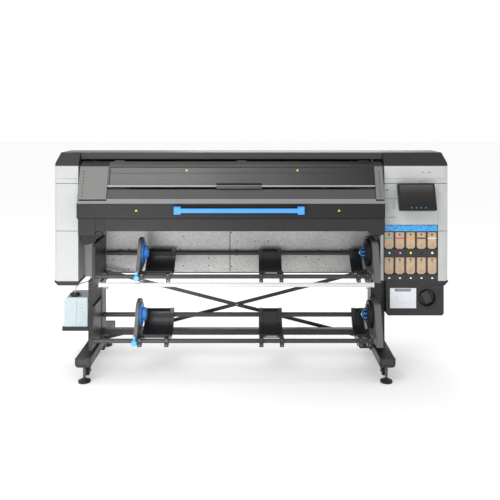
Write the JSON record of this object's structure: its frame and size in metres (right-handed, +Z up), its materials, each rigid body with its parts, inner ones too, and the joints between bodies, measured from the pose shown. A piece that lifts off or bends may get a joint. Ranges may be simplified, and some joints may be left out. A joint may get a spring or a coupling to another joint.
{
  "type": "wide format roll printer",
  "caption": "Wide-format roll-to-roll graphics printer on a stand, with hinged window, ink cabinet, and upper and lower roll stations with sliding cradles.",
  "frame": {"origin": "on the floor under the middle of the machine", "axes": "+X along the machine to its right end as seen from the front, -Y towards the operator, +Z up"},
  "size_m": [2.583, 0.754, 1.402],
  "materials": {
    "white_plastic": "smooth satin white moulded cover",
    "dark_plastic": "fine grained dark moulding",
    "grey_plastic": "fine speckled grey moulding",
    "window_tint": "smoked window",
    "blue_plastic": "satin blue moulding",
    "galvanised": "galvanised sheet with small spangle",
    "stand_paint": "dark powder coat",
    "satin_tube": "satin tube",
    "rail_steel": "black coated tube",
    "cradle_black": "semi-gloss black moulding",
    "arm_grey": "grey moulded housing",
    "cardboard": "plain carton",
    "cabinet_dark": "dark cabinet moulding",
    "cartridge_white": "white moulding",
    "screen_black": "black glass-fronted panel",
    "bottle_clear": "translucent bottle",
    "black_rubber": "soft black tread",
    "fork_steel": "black fork",
    "foot_steel": "zinc plated foot",
    "chassis_steel": "light grey coated sheet",
    "guide_steel": "ground rail",
    "roller_rubber": "rubber coated roller",
    "hose_clear": "translucent hose"
  },
  "bodies": {
    "machine": {"foot_beams": "stand_paint", "left_post": "stand_paint", "right_post": "stand_paint", "stand_cross_beam": "stand_paint", "cross_braces": "stand_paint", "levelling_feet": "foot_steel", "roll_rails": "rail_steel", "left_brackets": "stand_paint", "drive_arms": "arm_grey", "right_cradles": "cradle_black", "left_side_cover": "white_plastic", "bottom_trays": "dark_plastic", "right_side_cover": "white_plastic", "ink_cabinet": "cabinet_dark", "lower_box": "dark_plastic", "lower_front_cover": "dark_plastic", "hood_end_panels": "grey_plastic", "top_cover": "dark_plastic", "rear_cover": "dark_plastic", "main_chassis": "chassis_steel", "carriage_rail": "guide_steel", "platen": "guide_steel", "output_plate": "galvanised", "waste_bottle": "bottle_clear", "waste_cap": "dark_plastic", "waste_hose": "hose_clear"},
    "window": {"window_panel": "window_tint"},
    "front_flap": {"front_cover": "dark_plastic", "blue_handle": "blue_plastic"},
    "left_lid": {"left_lid": "white_plastic"},
    "right_lid": {"right_lid": "white_plastic"},
    "screen": {"touchscreen": "screen_black"},
    "print_carriage": {"print_carriage": "cabinet_dark"},
    "cutter": {"cutter_carriage": "cabinet_dark"},
    "feed_roller": {"feed_roller": "roller_rubber"},
    "maintenance_cartridge": {"maintenance_cartridge": "cartridge_white"},
    "rotary_knob": {"rotary_knob": "cabinet_dark"},
    "upper_ink_row": {"ink_boxes_upper": "cardboard"},
    "lower_ink_row": {"ink_boxes_lower": "cardboard"},
    "tension_bar": {"tension_bar": "satin_tube"},
    "upper_left_unit": {"upper_left_hub_arm": "arm_grey", "upper_left_cradle": "cradle_black"},
    "upper_centre_unit": {"upper_centre_cradle": "cradle_black"},
    "upper_left_plug": {"upper_left_plug": "blue_plastic"},
    "upper_lock": {"upper_lock_lever": "blue_plastic"},
    "upper_drive_hub": {"upper_drive_hub": "cradle_black"},
    "lower_left_unit": {"lower_left_hub_arm": "arm_grey", "lower_left_cradle": "cradle_black"},
    "lower_centre_unit": {"lower_centre_cradle": "cradle_black"},
    "lower_left_plug": {"lower_left_plug": "blue_plastic"},
    "lower_lock": {"lower_lock_lever": "blue_plastic"},
    "lower_drive_hub": {"lower_drive_hub": "cradle_black"},
    "front_left_swivel": {"front_left_caster_fork": "fork_steel"},
    "front_left_wheel": {"front_left_caster_wheel": "black_rubber"},
    "rear_left_swivel": {"rear_left_caster_fork": "fork_steel"},
    "rear_left_wheel": {"rear_left_caster_wheel": "black_rubber"},
    "front_right_swivel": {"front_right_caster_fork": "fork_steel"},
    "front_right_wheel": {"front_right_caster_wheel": "black_rubber"},
    "rear_right_swivel": {"rear_right_caster_fork": "fork_steel"},
    "rear_right_wheel": {"rear_right_caster_wheel": "black_rubber"}
  },
  "joints": [
    {"name": "window_hinge", "type": "hinge", "parent": "machine", "child": "window", "pos_m": [0, -0.06, 1.344], "axis": [-1, 0, 0], "range_deg": [0, 75]},
    {"name": "front_cover_hinge", "type": "hinge", "parent": "machine", "child": "front_flap", "pos_m": [0, -0.208, 0.99], "axis": [1, 0, 0], "range_deg": [0, 35]},
    {"name": "left_lid_hinge", "type": "hinge", "parent": "machine", "child": "left_lid", "pos_m": [-1.211, 0.377, 1.29], "axis": [-1, 0, 0], "range_deg": [0, 70]},
    {"name": "right_lid_hinge", "type": "hinge", "parent": "machine", "child": "right_lid", "pos_m": [1.08, 0.377, 1.29], "axis": [-1, 0, 0], "range_deg": [0, 70]},
    {"name": "screen_tilt", "type": "hinge", "parent": "machine", "child": "screen", "pos_m": [1.065, -0.143, 1.125], "axis": [1, 0, 0], "range_deg": [-8, 20]},
    {"name": "carriage_travel", "type": "slide", "parent": "machine", "child": "print_carriage", "axis": [1, 0, 0], "range_m": [-1.87, 0]},
    {"name": "cutter_travel", "type": "slide", "parent": "machine", "child": "cutter", "axis": [1, 0, 0], "range_m": [0, 1.7]},
    {"name": "feed_roller_spin", "type": "hinge", "parent": "machine", "child": "feed_roller", "pos_m": [0, 0.2, 0.962], "axis": [1, 0, 0], "continuous": true},
    {"name": "maintenance_cartridge_slide", "type": "slide", "parent": "machine", "child": "maintenance_cartridge", "axis": [0, -1, 0], "range_m": [0, 0.25]},
    {"name": "rotary_knob_turn", "type": "hinge", "parent": "machine", "child": "rotary_knob", "pos_m": [1.15, -0.08, 0.454], "axis": [0, 1, 0], "range_deg": [0, 90]},
    {"name": "upper_ink_slide", "type": "slide", "parent": "machine", "child": "upper_ink_row", "axis": [0, -1, 0], "range_m": [0, 0.28]},
    {"name": "lower_ink_slide", "type": "slide", "parent": "machine", "child": "lower_ink_row", "axis": [0, -1, 0], "range_m": [0, 0.28]},
    {"name": "tension_bar_swing", "type": "hinge", "parent": "machine", "child": "tension_bar", "pos_m": [0, -0.03, 0.505], "axis": [1, 0, 0], "range_deg": [0, 28]},
    {"name": "upper_left_unit_slide", "type": "slide", "parent": "machine", "child": "upper_left_unit", "axis": [1, 0, 0], "range_m": [-0.2, 0.4]},
    {"name": "upper_centre_cradle_slide", "type": "slide", "parent": "machine", "child": "upper_centre_unit", "axis": [1, 0, 0], "range_m": [-0.1, 0.35]},
    {"name": "upper_left_plug_spin", "type": "hinge", "parent": "upper_left_unit", "child": "upper_left_plug", "pos_m": [-0.7, -0.08, 0.744], "axis": [1, 0, 0], "continuous": true},
    {"name": "upper_lock_turn", "type": "hinge", "parent": "upper_left_unit", "child": "upper_lock", "pos_m": [-0.724, -0.256, 0.624], "axis": [0, 1, 0], "range_deg": [0, 90]},
    {"name": "upper_drive_hub_spin", "type": "hinge", "parent": "machine", "child": "upper_drive_hub", "pos_m": [0.76, -0.08, 0.744], "axis": [1, 0, 0], "continuous": true},
    {"name": "lower_left_unit_slide", "type": "slide", "parent": "machine", "child": "lower_left_unit", "axis": [1, 0, 0], "range_m": [-0.2, 0.4]},
    {"name": "lower_centre_cradle_slide", "type": "slide", "parent": "machine", "child": "lower_centre_unit", "axis": [1, 0, 0], "range_m": [-0.1, 0.35]},
    {"name": "lower_left_plug_spin", "type": "hinge", "parent": "lower_left_unit", "child": "lower_left_plug", "pos_m": [-0.7, -0.16, 0.363], "axis": [1, 0, 0], "continuous": true},
    {"name": "lower_lock_turn", "type": "hinge", "parent": "lower_left_unit", "child": "lower_lock", "pos_m": [-0.724, -0.336, 0.243], "axis": [0, 1, 0], "range_deg": [0, 90]},
    {"name": "lower_drive_hub_spin", "type": "hinge", "parent": "machine", "child": "lower_drive_hub", "pos_m": [0.76, -0.16, 0.363], "axis": [1, 0, 0], "continuous": true},
    {"name": "front_left_swivel_turn", "type": "hinge", "parent": "machine", "child": "front_left_swivel", "pos_m": [-1.033, -0.25, 0.095], "axis": [0, 0, 1], "continuous": true},
    {"name": "front_left_wheel_spin", "type": "hinge", "parent": "front_left_swivel", "child": "front_left_wheel", "pos_m": [-1.033, -0.268, 0.043], "axis": [1, 0, 0], "continuous": true},
    {"name": "rear_left_swivel_turn", "type": "hinge", "parent": "machine", "child": "rear_left_swivel", "pos_m": [-1.033, 0.18, 0.095], "axis": [0, 0, 1], "continuous": true},
    {"name": "rear_left_wheel_spin", "type": "hinge", "parent": "rear_left_swivel", "child": "rear_left_wheel", "pos_m": [-1.033, 0.162, 0.043], "axis": [1, 0, 0], "continuous": true},
    {"name": "front_right_swivel_turn", "type": "hinge", "parent": "machine", "child": "front_right_swivel", "pos_m": [0.836, -0.25, 0.095], "axis": [0, 0, 1], "continuous": true},
    {"name": "front_right_wheel_spin", "type": "hinge", "parent": "front_right_swivel", "child": "front_right_wheel", "pos_m": [0.836, -0.268, 0.043], "axis": [1, 0, 0], "continuous": true},
    {"name": "rear_right_swivel_turn", "type": "hinge", "parent": "machine", "child": "rear_right_swivel", "pos_m": [0.836, 0.18, 0.095], "axis": [0, 0, 1], "continuous": true},
    {"name": "rear_right_wheel_spin", "type": "hinge", "parent": "rear_right_swivel", "child": "rear_right_wheel", "pos_m": [0.836, 0.162, 0.043], "axis": [1, 0, 0], "continuous": true}
  ]
}
